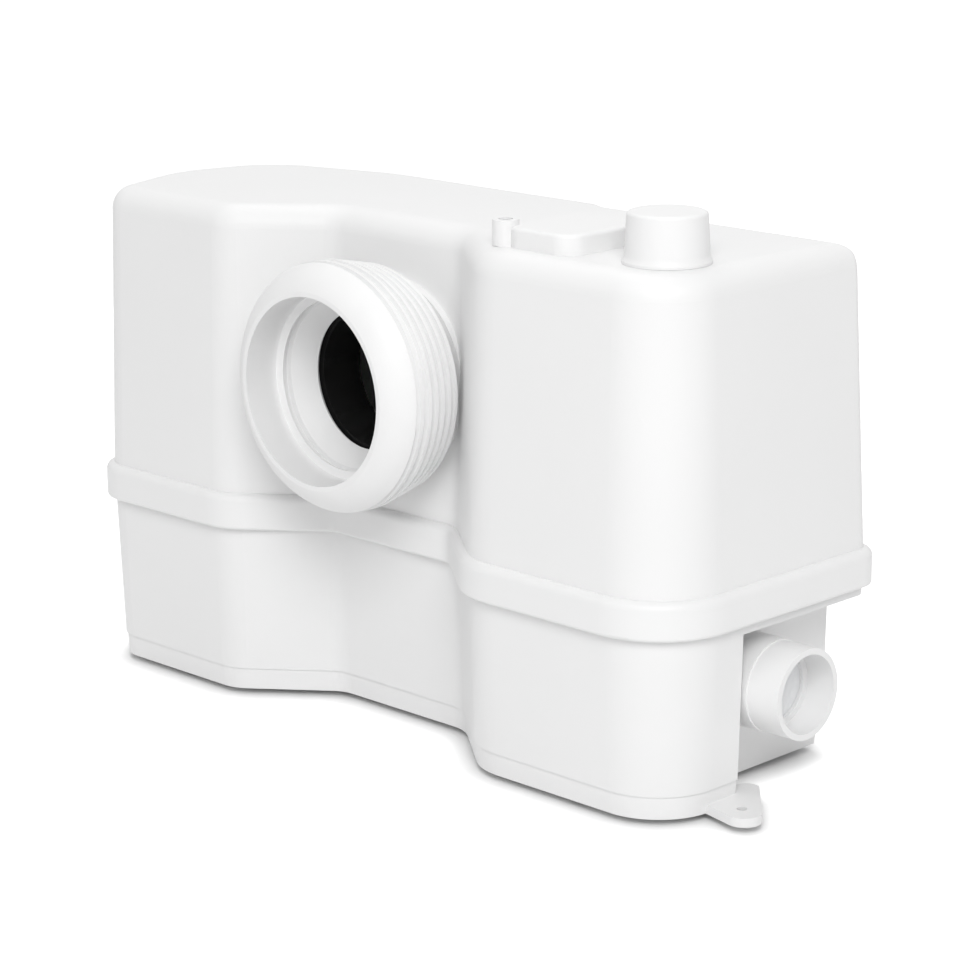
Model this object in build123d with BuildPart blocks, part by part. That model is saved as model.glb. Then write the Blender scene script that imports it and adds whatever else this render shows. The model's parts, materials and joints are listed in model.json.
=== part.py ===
from build123d import *
from math import cos, radians, sin
import os

# Macerator toilet pump: a white two part case with a rubber toilet inlet at the front, a side inlet with
# a flap, a capped top inlet and a service cover, and inside it a motor over a cutter pump, a discharge
# pipe with a non-return valve, and a pressure switch on a dip tube.
# Millimetres. +X runs to the end with the side inlet, -Y is the front, +Z is up. The origin is the
# middle of the overall box at floor level.

os.makedirs("parts", exist_ok=True)

# Case, as plan outline at the seam and heights above the floor
case_left = -220.75
case_right = 201.0
case_front = -67.1
case_back = 82.75
case_bottom = 3.5
case_top = 263.0
wall = 3.5
seam_height = 102.0
cover_draft = 0.0285
tank_draft = 0.0325
cover_at_seam = 1.45
tank_at_band = 0.8
top_round = 12.0
back_corner_round = 8.0
least_round = 0.8
plinth_height = 15.0
plinth_step = 0.8

# Back of the cover, which leans in over the right part of its length
lean_at_seam = 0.4
lean_at_top = 4.5
lean_start = 36.0
lean_step = 10.0

# Band round the seam
band_bottom = 93.0
band_top = 112.0
band_reach = 5.5
band_skirt = 2.5
band_shoulder = 4.2
band_lower_round = 2.0
tank_flange_gap = 2.0

# Bay in the front
inlet_x = -14.25
bay_floor = -30.3
bay_half_width = 44.5
bay_half_mouth = 91.0

# Toilet inlet
inlet_drop = 79.5
inlet_height = case_top - inlet_drop
port_bore = 36.0
port_wall = 3.5
port_end = -46.0
port_length = 25.0
port_flange_radius = 46.0
port_flange_thickness = 3.2
port_boss = 50.0
port_boss_face = -32.5
port_boss_thickness = 6.5
liner_bore = 34.3
liner_lip = 1.3
liner_lip_radius = 39.2
sleeve_mouth = -88.25
sleeve_mouth_radius = 47.5
sleeve_socket_depth = 20.25
sleeve_grip = 0.1
sleeve_edge_radius = 50.0
sleeve_bulge = (-82.5, 58.7)
sleeve_shoulder = -76.0
sleeve_shoulder_radius = 62.8
sleeve_shoulder_edge = 0.6
sleeve_first_rib = -74.0
sleeve_rib_radii = [63.3, 63.3, 62.2, 61.0, 59.8, 58.6]
sleeve_rib_pitch = 5.5
sleeve_rib_width = 3.4
sleeve_rib_edge = 0.6
sleeve_groove_depth = 2.2
sleeve_neck_radius = 44.5
wiper_profile = [(-62.0, 43.0), (-62.6, 45.5), (-65.4, 45.5), (-66.0, 43.5), (-67.0, 43.5)]

# Recess at the right end of the tank
recess_front = -12.0
recess_depth = 24.7
recess_ceiling = 88.0
recess_slope_height = 31.0
recess_slope_run = 4.3
recess_reach = 60.0
recess_length = 200.0

# Side inlet
side_y = 12.6
side_height = 56.8
spigot_radius = 22.5
spigot_bore = 19.5
spigot_end = 221.25
spigot_grip = 19.0
spigot_root_radius = 23.1
spigot_flange = 24.5
spigot_flange_thickness = 3.0
side_seal_thickness = 1.5
side_nut_thickness = 7.0
seat_radius = 16.1
seat_thickness = 2.0
flap_radius = 17.4
flap_thickness = 1.6
flap_depth = 18.0
flap_knuckle_radius = 2.2
flap_knuckle_length = 16.0
hinge_pin_radius = 1.0
hinge_height = 15.0
hinge_setback = 2.3
hinge_pin_length = 30.0
hinge_play = 0.05
pin_fit = 0.02

# Floor lugs
lug_thickness = 4.5
lug_hole = 2.5
right_lug_circles = [(217.75, -29.0, 8.5), (192.0, -24.0, 8.0), (197.0, -2.0, 6.0)]
right_lug_hole = (214.0, -26.0)
left_lug_circles = [(-207.0, 68.0, 8.5), (-186.0, 50.0, 12.0)]
left_lug_hole = (-205.0, 66.0)

# Seam screws in posts
post_radius = 7.5
post_inset = 12.5
post_web_start = 60.0
post_web_end = 1.2
post_bore = 4.5
post_head_height = 84.0
seam_screw_radius = 2.0
seam_screw_head = 4.0
seam_screw_head_height = 3.0
seam_boss_height = 16.0
seam_seal_thickness = 0.5
screw_clearance = 0.2
thread_fit = 0.05

# Top inlet
top_inlet = (165.0, -26.8)
cap_top_radius = 19.0
cap_radius = 19.9
cap_foot_radius = 21.1
cap_height = 24.0
cap_wall = 2.4
cap_edge = 1.8
cap_foot_height = 1.2
cap_foot_rise = 4.5
stub_radius = 15.4
stub_bore = 12.4
stub_height = 16.0
stub_depth = 9.0
stub_flange_radius = 19.0
stub_flange_thickness = 2.5
cap_seal_height = 7.0
cap_seal_width = 2.5
cap_seal_depth = 1.0

# Service cover
slab_left = 81.0
slab_right = 125.0
slab_front = -50.0
slab_back = 8.0
slab_height = 10.0
slab_corner = 11.0
slab_wall = 2.5
slab_roof = 3.0
slab_edge = 2.0
vent_slots = (94.0, 103.0, 112.0)
vent_slot_width = 2.0
vent_slot_height = 1.5
screw_boss = (79.0, -45.0)
screw_boss_radius = 6.5
screw_boss_height = 12.5
service_head_radius = 3.4
service_head_depth = 3.0

# Discharge
outlet_place = (141.0, 8.0)
outlet_radius = 11.0
outlet_bore = 8.5
outlet_top = 277.0
outlet_grip = 13.5
outlet_root_radius = 11.5
outlet_collar = 3.0
well_radius = 15.5
well_depth = 14.0
pipe_radius = 11.0
pipe_bore = 8.5
pipe_bend = 14.0
pipe_end_x = 123.0
pipe_seal_start = 119.6
pipe_seal_length = 7.2
valve_bottom = 186.0
valve_seat_height = 201.0
valve_top = 238.0
valve_inner = 12.5
valve_wall = 3.0
valve_seat_bore = 8.0
valve_flap_radius = 10.0
valve_flap_thickness = 2.0

# Motor and pump
pump_x = 70.0
pump_y = 20.0
can_radius = 42.0
can_wall = 2.5
can_bottom = 60.0
can_top = 200.0
pump_flange = 54.0
flange_thickness = 4.0
shaft_radius = 6.0
shaft_play = 0.05
shaft_end = 12.5
bearing_length = 12.0
volute_inner = 37.0
volute_growth = 7.0
volute_outer = 52.0
volute_bottom = 28.0
volute_roof = 48.0
roof_thickness = 6.0
impeller_radius = 34.0
suction_plate_thickness = 6.0
suction_hole = 17.0
foot_circle = 58.0
foot_radius = 8.0
foot_bottom = 13.0
foot_seat_height = 4.0
foot_pin_radius = 3.0
seat_wall = 2.6

# Pressure switch on the dip tube
dip_place = (146.0, 48.0)
dip_radius = 10.0
dip_wall = 2.0
dip_top = 194.0
dip_slot_reach = 20.0
dip_slot_width = 6.0
dip_slot_top = 9.0
dip_seat_height = 6.0
switch_radius = 15.0

# Control box under the service cover
box_left = 84.0
box_right = 117.0
box_front = -46.0
box_back = -12.0
box_bottom = 218.0
box_wall = 2.0
board_inset = 4.0
board_face = -31.0
board_thickness = 1.6
board_height = 32.0
capacitor_y = -21.0
capacitor_radius = 6.5
capacitor_height = 30.0

# General clearance between pieces that sit in one another
fit = 0.1

floor_inside = case_bottom + wall
ceiling = case_top - wall
shoulder_height = case_top - top_round
pump_place = (pump_x, pump_y)


def cover_offset(height):
    """How far the cover's wall stands outside the seam outline at a height."""
    return cover_at_seam - cover_draft * (height - seam_height)


def tank_offset(height):
    """How far the tank's wall stands outside the seam outline at a height."""
    return tank_at_band - tank_draft * (band_bottom - height)


def lean_at(height):
    """How far the right part of the back leans in at a height."""
    share = (height - seam_height) / (case_top - seam_height)
    return lean_at_seam + (lean_at_top - lean_at_seam) * share


def case_corners(lean):
    """Corners of the seam outline, anticlockwise from the front left, each with its round."""
    leaning_back = case_back - lean
    return [
        ((case_left + 18.0, case_front), 20.0),
        ((inlet_x - bay_half_mouth, case_front), 25.0),
        ((inlet_x - bay_half_width, bay_floor), 15.0),
        ((inlet_x + bay_half_width, bay_floor), 20.0),
        ((inlet_x + bay_half_mouth, case_front), 38.0),
        ((case_right, case_front), 36.0),
        ((case_right, leaning_back), back_corner_round),
        ((lean_start + lean_step / 2, leaning_back), 6.0),
        ((lean_start - lean_step / 2, case_back), 14.0),
        ((case_left + 102.0, case_back), 120.0),
        ((case_left + 37.0, case_back - 16.75), 40.0),
        ((case_left + 12.0, case_back - 34.75), 45.0),
        ((case_left - 2.75, case_back - 87.75), 65.0),
    ]


def case_section(height, grow, lean):
    """The case's outline at a height, moved outwards by grow, with concentric rounds."""
    corners = case_corners(lean)
    points = []
    rounds = []
    for index, (place, radius) in enumerate(corners):
        here = Vector(*place)
        way_in = (here - Vector(*corners[index - 1][0])).normalized()
        way_out = (Vector(*corners[(index + 1) % len(corners)][0]) - here).normalized()
        outward = way_in.rotate(Axis.Z, -90) + way_out.rotate(Axis.Z, -90)
        points.append(here + outward * (grow / (1 + way_in.dot(way_out))))
        bulges_out = way_in.cross(way_out).Z > 0
        rounds.append(max(radius + grow, least_round) if bulges_out else radius - grow)
    with BuildSketch(Plane.XY.offset(height)) as section:
        with BuildLine():
            FilletPolyline(*points, radius=rounds, close=True)
        make_face()
    return section.sketch.face()


def case_round(top, grow_at, inset, radius, steps=4):
    """Solid from radius below the top up to it, whose edge rolls in as a quarter circle."""
    sections = []
    for step in range(steps + 1):
        angle = radians(90 * step / steps)
        height = top - radius + radius * sin(angle)
        grow = grow_at(height) - inset - radius * (1 - cos(angle))
        sections.append(case_section(height, grow, lean_at(height)))
    return Solid.make_loft([section.outer_wire() for section in sections])


def ring(place, bottom, top, outer, inner=0.0):
    """Upright disc or ring between two heights."""
    with BuildPart() as shape:
        with BuildSketch(Plane.XY.offset(bottom)):
            with Locations(place):
                Circle(outer)
                if inner > 0:
                    Circle(inner, mode=Mode.SUBTRACT)
        extrude(amount=top - bottom)
    return shape.part


def tube_along(plane, length, outer, inner=0.0):
    """Disc or ring that runs from a plane along its normal."""
    with BuildPart() as shape:
        with BuildSketch(plane):
            Circle(outer)
            if inner > 0:
                Circle(inner, mode=Mode.SUBTRACT)
        extrude(amount=length)
    return shape.part


def slab(left, right, front, back, bottom, top, corner=0.0):
    """Upright block from its plan edges and heights, with rounded corners."""
    with BuildPart() as shape:
        with BuildSketch(Plane.XY.offset(bottom)):
            with Locations(((left + right) / 2, (front + back) / 2)):
                if corner > 0:
                    RectangleRounded(right - left, back - front, corner)
                else:
                    Rectangle(right - left, back - front)
        extrude(amount=top - bottom)
    return shape.part


def box_inside(bottom, top):
    """Space inside the control box and the hatch above it, between two heights."""
    return slab(box_left + box_wall, box_right - box_wall, box_front + box_wall, box_back - box_wall,
                bottom, top, hatch_inner_corner)


def upright(place):
    """Plane through an upright axis, for profiles drawn as radius and height."""
    return Plane(origin=(place[0], place[1], 0), x_dir=(1, 0, 0), z_dir=(0, -1, 0))


def upright_axis(place):
    return Axis((place[0], place[1], 0), (0, 0, 1))


def along_x(start):
    """Plane across the side inlet's axis, facing the mouth."""
    return Plane(origin=(start, side_y, side_height), x_dir=(0, 1, 0), z_dir=(1, 0, 0))


def along_y(place, height, start):
    """Plane across a level axis that runs to the back."""
    return Plane(origin=(place, start, height), x_dir=(1, 0, 0), z_dir=(0, 1, 0))


# Screw posts, each with the box that ties it to its wall
post_places = [
    (-150.0, case_front + post_inset),
    (140.0, case_front + post_inset),
    (case_right - post_inset, -25.0),
    (120.0, case_back - post_inset),
    (-60.0, case_back - post_inset),
    (case_left + post_inset, 3.0),
]
post_webs = [(0, -1), (0, -1), (1, 0), (0, 1), (0, 1), (-1, 0)]
web_thickness = 3.0


def post_web(place, way, bottom, top):
    """Short web from a post's middle towards the wall beside it."""
    reach = post_inset - post_web_end
    far = (place[0] + way[0] * reach, place[1] + way[1] * reach)
    half = web_thickness / 2
    return slab(
        min(place[0], far[0]) - abs(way[1]) * half,
        max(place[0], far[0]) + abs(way[1]) * half,
        min(place[1], far[1]) - abs(way[0]) * half,
        max(place[1], far[1]) + abs(way[0]) * half,
        bottom,
        top,
    )


# Feet of the pump, at three places round its axis
foot_places = [
    (pump_x + foot_circle * cos(radians(angle)), pump_y + foot_circle * sin(radians(angle)))
    for angle in (30, 150, 270)
]

# Lower tank: drafted wall, plinth, flange, recess, screw posts, seats for the pump feet and dip tube
tank_flange_reach = band_reach - band_skirt - fit
tank_top = seam_height - seam_seal_thickness
recess_wall_x = case_right - recess_depth


def recess(grow):
    """The recess at the right end, or the space behind its walls when grow is the wall."""
    with BuildPart() as space:
        with BuildSketch(Plane.XZ.offset(grow - recess_front)):
            with BuildLine():
                Polyline(
                    (recess_wall_x - grow, recess_ceiling + grow),
                    (recess_wall_x - grow, recess_slope_height),
                    (recess_wall_x - recess_slope_run - grow, 0),
                    (case_right + recess_reach, 0),
                    (case_right + recess_reach, recess_ceiling + grow),
                    close=True,
                )
            make_face()
        extrude(amount=-recess_length)
    return space.part


def dip_slot(bottom, top):
    """Slot through the dip tube's foot and its seat, which lets the water in."""
    across, back = dip_place
    return slab(across - dip_slot_reach, across + dip_slot_reach, back - dip_slot_width / 2,
                back + dip_slot_width / 2, bottom, top)


def lug(circles):
    """Flat lug at the floor, the hull of its round corners."""
    with BuildPart() as shape:
        with BuildSketch(Plane.XY.offset(case_bottom)):
            for across, back, radius in circles:
                with Locations((across, back)):
                    Circle(radius)
            make_hull()
        extrude(amount=lug_thickness)
    return shape.part


plinth_offset = tank_offset(plinth_height) - plinth_step
foot_offset = plinth_offset - tank_draft * plinth_height
tank_flange_bottom = band_bottom + tank_flange_gap

with BuildPart() as tank_space:
    loft(
        sections=[
            case_section(floor_inside, foot_offset - wall, lean_at_seam),
            case_section(tank_top, tank_offset(tank_top) - wall, lean_at_seam),
        ],
        ruled=True,
    )
    add(recess(wall), mode=Mode.SUBTRACT)

with BuildPart() as lower_tank:
    loft(
        sections=[
            case_section(plinth_height, tank_offset(plinth_height), lean_at_seam),
            case_section(tank_top, tank_offset(tank_top), lean_at_seam),
        ],
        ruled=True,
    )
    loft(
        sections=[
            case_section(case_bottom, foot_offset, lean_at_seam),
            case_section(plinth_height, plinth_offset, lean_at_seam),
        ],
        ruled=True,
    )
    extrude(case_section(tank_flange_bottom, tank_flange_reach, lean_at_seam),
            amount=tank_top - tank_flange_bottom)
    add(recess(0), mode=Mode.SUBTRACT)
    add(tank_space.part, mode=Mode.SUBTRACT)
    add(lug(right_lug_circles))
    add(lug(left_lug_circles))
    for place, way in zip(post_places, post_webs):
        add(ring(place, case_bottom, tank_top, post_radius))
        add(post_web(place, way, post_web_start, tank_top))
    for place in post_places:
        add(ring(place, 0, post_head_height, post_bore), mode=Mode.SUBTRACT)
        add(ring(place, 0, seam_height, seam_screw_radius + screw_clearance), mode=Mode.SUBTRACT)
    for place in foot_places:
        add(ring(place, case_bottom, floor_inside + foot_seat_height, foot_radius + seat_wall,
                 foot_radius + 2 * fit))
    add(ring(dip_place, case_bottom, floor_inside + dip_seat_height, dip_radius + seat_wall, dip_radius + fit))
    add(dip_slot(floor_inside, floor_inside + dip_seat_height + 1), mode=Mode.SUBTRACT)
    for place in (right_lug_hole, left_lug_hole):
        add(ring(place, 0, case_bottom + lug_thickness + 1, lug_hole), mode=Mode.SUBTRACT)
    add(tube_along(along_x(recess_wall_x - 2 * wall), 4 * wall, spigot_radius + fit), mode=Mode.SUBTRACT)
lower_tank.part.label = "lower_tank"
export_step(lower_tank.part, "parts/lower_tank.step")


# Upper cover: drafted wall with a round top edge, band with a skirt over the tank's flange, holes of the
# toilet inlet and the top inlet, hatch and vent under the service cover, well of the outlet
hatch_rim = 4.0
vent_place = (101.0, -1.0)
vent_bore = 6.5
filter_radius = 8.4
filter_top = ceiling - fit
filter_bottom = filter_top - 9.5
column_end = 218.0
column_radius = 15.0
damper_radius = 12.1
grommet_hole = 14.0
gland_place = 176.0
gland_drop = 38.0
gland_height = case_top - gland_drop
gland_bore = 6.1
gland_boss_radius = 10.0
gland_boss_face = 78.5
gland_boss_back = 69.5
gland_reach = 9.5
cord_bore = 4.0
service_screw_radius = 2.0
service_boss_radius = 5.0
service_boss_depth = 14.0
hatch_corner = 4.0
hatch_inner_corner = 3.0
stub_top = case_top + stub_height
cap_seal_bottom = case_top + cap_seal_height
cap_seal_top = cap_seal_bottom + cap_seal_width

with BuildPart() as cover_space:
    loft(
        sections=[
            case_section(seam_height, cover_offset(seam_height) - wall, lean_at(seam_height)),
            case_section(shoulder_height, cover_offset(shoulder_height) - wall, lean_at(shoulder_height)),
        ],
        ruled=True,
    )
    add(case_round(ceiling, cover_offset, wall, top_round - wall))
    extrude(case_section(band_bottom, band_reach - band_skirt, lean_at_seam), amount=seam_height - band_bottom)

with BuildPart() as upper_cover:
    extrude(case_section(band_bottom, band_reach, lean_at_seam), amount=band_top - band_bottom)
    fillet(upper_cover.faces().sort_by(Axis.Z)[-1].edges(), band_shoulder)
    fillet(upper_cover.faces().sort_by(Axis.Z)[0].edges(), band_lower_round)
    loft(
        sections=[
            case_section(seam_height, cover_offset(seam_height), lean_at(seam_height)),
            case_section(shoulder_height, cover_offset(shoulder_height), lean_at(shoulder_height)),
        ],
        ruled=True,
    )
    add(case_round(case_top, cover_offset, 0, top_round))
    add(cover_space.part, mode=Mode.SUBTRACT)
    # Boss and hole of the toilet inlet's port, and hole of the top inlet's stub
    add(tube_along(along_y(inlet_x, inlet_height, port_boss_face), port_boss_thickness, port_boss))
    add(tube_along(along_y(inlet_x, inlet_height, port_boss_face - 1), port_length, port_bore + port_wall + fit),
        mode=Mode.SUBTRACT)
    add(ring(top_inlet, ceiling - 1, case_top + 1, stub_radius + fit), mode=Mode.SUBTRACT)
    # Hatch rim, vent holder and boss of the service screw
    add(slab(box_left, box_right, box_front, box_back, ceiling, case_top + hatch_rim, hatch_corner))
    add(box_inside(ceiling - 1, case_top + hatch_rim + 1), mode=Mode.SUBTRACT)
    add(ring(vent_place, filter_bottom - 2, ceiling + 1, filter_radius + 2.1))
    add(ring(vent_place, filter_bottom, filter_top + fit, filter_radius + fit), mode=Mode.SUBTRACT)
    add(ring(vent_place, filter_bottom - 3, case_top + 1, vent_bore), mode=Mode.SUBTRACT)
    add(ring(screw_boss, case_top - service_boss_depth, ceiling + 1, service_boss_radius))
    add(ring(screw_boss, case_top - service_boss_depth + 1, case_top + 1, service_screw_radius + thread_fit),
        mode=Mode.SUBTRACT)
    # Well of the outlet
    add(ring(outlet_place, case_top - well_depth - wall, ceiling + 1, well_radius + 3))
    add(ring(outlet_place, case_top - well_depth, case_top + 1, well_radius), mode=Mode.SUBTRACT)
    add(ring(outlet_place, case_top - well_depth - wall - 1, case_top, grommet_hole), mode=Mode.SUBTRACT)
    # Column that holds the motor's damper
    add(ring(pump_place, column_end, ceiling + 1, column_radius))
    add(ring(pump_place, column_end - 1, column_end + 14, damper_radius + fit), mode=Mode.SUBTRACT)
    # Boss of the cable gland
    gland_boss_length = gland_boss_face - gland_boss_back
    add(tube_along(along_y(gland_place, gland_height, gland_boss_back), gland_boss_length, gland_boss_radius))
    add(tube_along(along_y(gland_place, gland_height, gland_boss_back - 1), gland_boss_length + 2, gland_bore),
        mode=Mode.SUBTRACT)
    # Screw bosses over the tank's posts
    for place, way in zip(post_places, post_webs):
        add(ring(place, seam_height, seam_height + seam_boss_height, post_radius - 1))
        add(post_web(place, way, seam_height, seam_height + seam_boss_height))
    for place in post_places:
        add(ring(place, band_bottom, seam_height + seam_boss_height - 1.5, seam_screw_radius + thread_fit),
            mode=Mode.SUBTRACT)
upper_cover.part.label = "upper_cover"
export_step(upper_cover.part, "parts/upper_cover.step")

# Port of the toilet inlet, with a flange behind the bay's wall
with BuildPart() as inlet_port:
    add(tube_along(along_y(inlet_x, inlet_height, port_end), port_length, port_bore + port_wall))
    add(tube_along(along_y(inlet_x, inlet_height, port_end + port_length - port_flange_thickness),
                   port_flange_thickness, port_flange_radius))
    add(tube_along(along_y(inlet_x, inlet_height, port_end - 1), port_length + 2, port_bore),
        mode=Mode.SUBTRACT)
inlet_port.part.label = "inlet_port"
export_step(inlet_port.part, "parts/inlet_port.step")

# Stub of the top inlet, with its seal groove and a flange under the cover's top
with BuildPart() as top_inlet_stub:
    add(ring(top_inlet, ceiling - stub_depth, stub_top, stub_radius))
    add(ring(top_inlet, ceiling - fit - stub_flange_thickness, ceiling - fit, stub_flange_radius))
    add(ring(top_inlet, ceiling - stub_depth - 1, stub_top + 1, stub_bore), mode=Mode.SUBTRACT)
    add(ring(top_inlet, cap_seal_bottom, cap_seal_top, stub_radius + 1, stub_radius - cap_seal_depth),
        mode=Mode.SUBTRACT)
top_inlet_stub.part.label = "top_inlet_stub"
export_step(top_inlet_stub.part, "parts/top_inlet_stub.step")

# Seam seal with a washer round each screw, and the seam screws
with BuildPart() as seam_seal:
    extrude(case_section(tank_top, tank_flange_reach - fit, lean_at_seam), amount=seam_seal_thickness)
    extrude(case_section(tank_top, tank_offset(tank_top) - wall, lean_at_seam), amount=seam_seal_thickness,
            mode=Mode.SUBTRACT)
    for place in post_places:
        add(ring(place, tank_top, seam_height, post_radius - 1))
    for place in post_places:
        add(ring(place, tank_top - 1, seam_height + 1, seam_screw_radius + screw_clearance), mode=Mode.SUBTRACT)
seam_seal.part.label = "seam_seal"
export_step(seam_seal.part, "parts/seam_seal.step")

with BuildPart() as seam_screws:
    for place in post_places:
        add(ring(place, post_head_height - seam_screw_head_height, post_head_height, seam_screw_head))
        add(ring(place, post_head_height - 1, seam_height + seam_boss_height - 3, seam_screw_radius))
seam_screws.part.label = "seam_screws"
export_step(seam_screws.part, "parts/seam_screws.step")

# Rubber pads under the tank
pad_places = [(-175, -28), (-168, 32), (162, -36), (116, 46)]
with BuildPart() as base_pads:
    for place in pad_places:
        add(slab(place[0] - 16, place[0] + 16, place[1] - 8, place[1] + 8, 0, case_bottom, 5))
base_pads.part.label = "base_pads"
export_step(base_pads.part, "parts/base_pads.step")

# Rubber sleeve of the toilet inlet: bulging mouth and ribs outside, wiper lips and a funnel lip inside
sleeve_inner = port_bore + port_wall + sleeve_grip
socket_end = sleeve_mouth + sleeve_socket_depth
shoulder_groove = sleeve_rib_radii[0] - sleeve_groove_depth
rib_points = [(sleeve_shoulder + sleeve_shoulder_edge, shoulder_groove)]
for index, rib_radius in enumerate(sleeve_rib_radii):
    rib_start = sleeve_first_rib + index * sleeve_rib_pitch
    rib_end = rib_start + sleeve_rib_width
    groove_radius = rib_radius - sleeve_groove_depth
    rib_points += [
        (rib_start, groove_radius),
        (rib_start + sleeve_rib_edge, rib_radius),
        (rib_end - sleeve_rib_edge, rib_radius),
        (rib_end, groove_radius),
    ]

with BuildPart() as inlet_sleeve:
    with BuildSketch(Plane(origin=(inlet_x, 0, inlet_height), x_dir=(0, 1, 0), z_dir=(1, 0, 0))):
        with BuildLine():
            Line((sleeve_mouth, sleeve_mouth_radius), (sleeve_mouth, sleeve_edge_radius))
            ThreePointArc((sleeve_mouth, sleeve_edge_radius), sleeve_bulge,
                          (sleeve_shoulder, sleeve_shoulder_radius))
            Polyline(
                (sleeve_shoulder, sleeve_shoulder_radius),
                *rib_points,
                (rib_end + 1.0, sleeve_neck_radius),
                (port_boss_face, sleeve_neck_radius),
                (port_boss_face, sleeve_inner),
                (port_end - 2.0, sleeve_inner),
                (port_end - 3.0, port_bore + 0.3),
                (port_end - 4.5, port_bore - 0.5),
                *wiper_profile,
                (socket_end, sleeve_mouth_radius),
                (sleeve_mouth, sleeve_mouth_radius),
            )
        make_face()
    revolve(axis=Axis((inlet_x, 0, inlet_height), (0, 1, 0)))
inlet_sleeve.part.label = "inlet_sleeve"
export_step(inlet_sleeve.part, "parts/inlet_sleeve.step")

# Black lining of the port, held between the port's end and the sleeve's lip
liner_start = port_end - fit - liner_lip
with BuildPart() as inlet_liner:
    add(tube_along(along_y(inlet_x, inlet_height, liner_start), liner_lip, liner_lip_radius, liner_bore))
    add(tube_along(along_y(inlet_x, inlet_height, liner_start), port_length, port_bore - fit, liner_bore))
inlet_liner.part.label = "inlet_liner"
export_step(inlet_liner.part, "parts/inlet_liner.step")

# Side inlet: spigot with its seat, flap on a hinge pin, seal, nut
flap_face = spigot_end - flap_depth
pin_x = flap_face - hinge_setback
pin_height = side_height + hinge_height
spigot_inner_end = recess_wall_x - wall - side_nut_thickness - 3.0
spigot_root = spigot_end - spigot_grip
side_face = recess_wall_x + side_seal_thickness


def hinge_plane(length):
    """Plane at the back end of a piece of a length that lies centred on the flap's hinge."""
    return Plane(origin=(pin_x, side_y + length / 2, pin_height), x_dir=(1, 0, 0), z_dir=(0, -1, 0))


pin_plane = hinge_plane(hinge_pin_length)

with BuildPart() as side_inlet_spigot:
    add(tube_along(along_x(spigot_inner_end), spigot_end - spigot_inner_end, spigot_radius))
    add(tube_along(along_x(side_face), spigot_root - side_face, spigot_root_radius))
    add(tube_along(along_x(side_face), spigot_flange_thickness, spigot_flange))
    add(tube_along(along_x(spigot_inner_end - 1), flap_face + fit - spigot_inner_end + 1, spigot_bore),
        mode=Mode.SUBTRACT)
    add(tube_along(along_x(flap_face), flap_depth + 1, seat_radius), mode=Mode.SUBTRACT)
    add(tube_along(along_x(flap_face + fit + seat_thickness), flap_depth + 1, spigot_bore), mode=Mode.SUBTRACT)
    add(tube_along(pin_plane, hinge_pin_length, hinge_pin_radius + pin_fit), mode=Mode.SUBTRACT)
side_inlet_spigot.part.label = "side_inlet_spigot"
export_step(side_inlet_spigot.part, "parts/side_inlet_spigot.step")

with BuildPart() as side_flap:
    add(tube_along(along_x(flap_face - flap_thickness), flap_thickness, flap_radius))
    add(slab(pin_x, flap_face + 1, side_y - flap_radius, side_y + flap_radius, pin_height,
             side_height + flap_radius + 1), mode=Mode.SUBTRACT)
    add(tube_along(hinge_plane(flap_knuckle_length), flap_knuckle_length, flap_knuckle_radius))
    add(tube_along(pin_plane, hinge_pin_length, hinge_pin_radius + hinge_play), mode=Mode.SUBTRACT)
side_flap.part.label = "side_flap"
export_step(side_flap.part, "parts/side_flap.step")

with BuildPart() as side_flap_pin:
    add(tube_along(pin_plane, hinge_pin_length, hinge_pin_radius))
side_flap_pin.part.label = "side_flap_pin"
export_step(side_flap_pin.part, "parts/side_flap_pin.step")

with BuildPart() as side_inlet_seal:
    add(tube_along(along_x(recess_wall_x), side_seal_thickness, spigot_flange - 0.5, spigot_radius + fit))
side_inlet_seal.part.label = "side_inlet_seal"
export_step(side_inlet_seal.part, "parts/side_inlet_seal.step")

with BuildPart() as side_inlet_nut:
    with BuildSketch(along_x(recess_wall_x - wall - side_nut_thickness)):
        RegularPolygon(26.0, 8)
        Circle(spigot_radius + fit, mode=Mode.SUBTRACT)
    extrude(amount=side_nut_thickness)
side_inlet_nut.part.label = "side_inlet_nut"
export_step(side_inlet_nut.part, "parts/side_inlet_nut.step")

# Top inlet's cap and the seal ring on its stub
cap_top = case_top + cap_height
cap_bottom = case_top + fit
cap_inside = cap_top_radius - cap_wall
with BuildPart() as top_cap:
    with BuildSketch(upright(top_inlet)):
        with BuildLine():
            Polyline((cap_inside, cap_bottom), (cap_foot_radius, cap_bottom),
                     (cap_foot_radius, cap_bottom + cap_foot_height))
            ThreePointArc((cap_foot_radius, cap_bottom + cap_foot_height),
                          (cap_radius + 0.4, cap_bottom + cap_foot_height + 1.4),
                          (cap_radius, cap_bottom + cap_foot_rise))
            Line((cap_radius, cap_bottom + cap_foot_rise), (cap_top_radius, cap_top - cap_edge))
            RadiusArc((cap_top_radius, cap_top - cap_edge), (cap_top_radius - cap_edge, cap_top), -cap_edge)
            Polyline((cap_top_radius - cap_edge, cap_top), (0, cap_top), (0, cap_top - cap_wall),
                     (cap_inside, cap_top - cap_wall), (cap_inside, cap_bottom))
        make_face()
    revolve(axis=upright_axis(top_inlet))
top_cap.part.label = "top_cap"
export_step(top_cap.part, "parts/top_cap.step")

with BuildPart() as cap_seal:
    add(ring(top_inlet, cap_seal_bottom + fit, cap_seal_top - fit, cap_inside - fit,
             stub_radius - cap_seal_depth + fit))
cap_seal.part.label = "cap_seal"
export_step(cap_seal.part, "parts/cap_seal.step")

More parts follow.
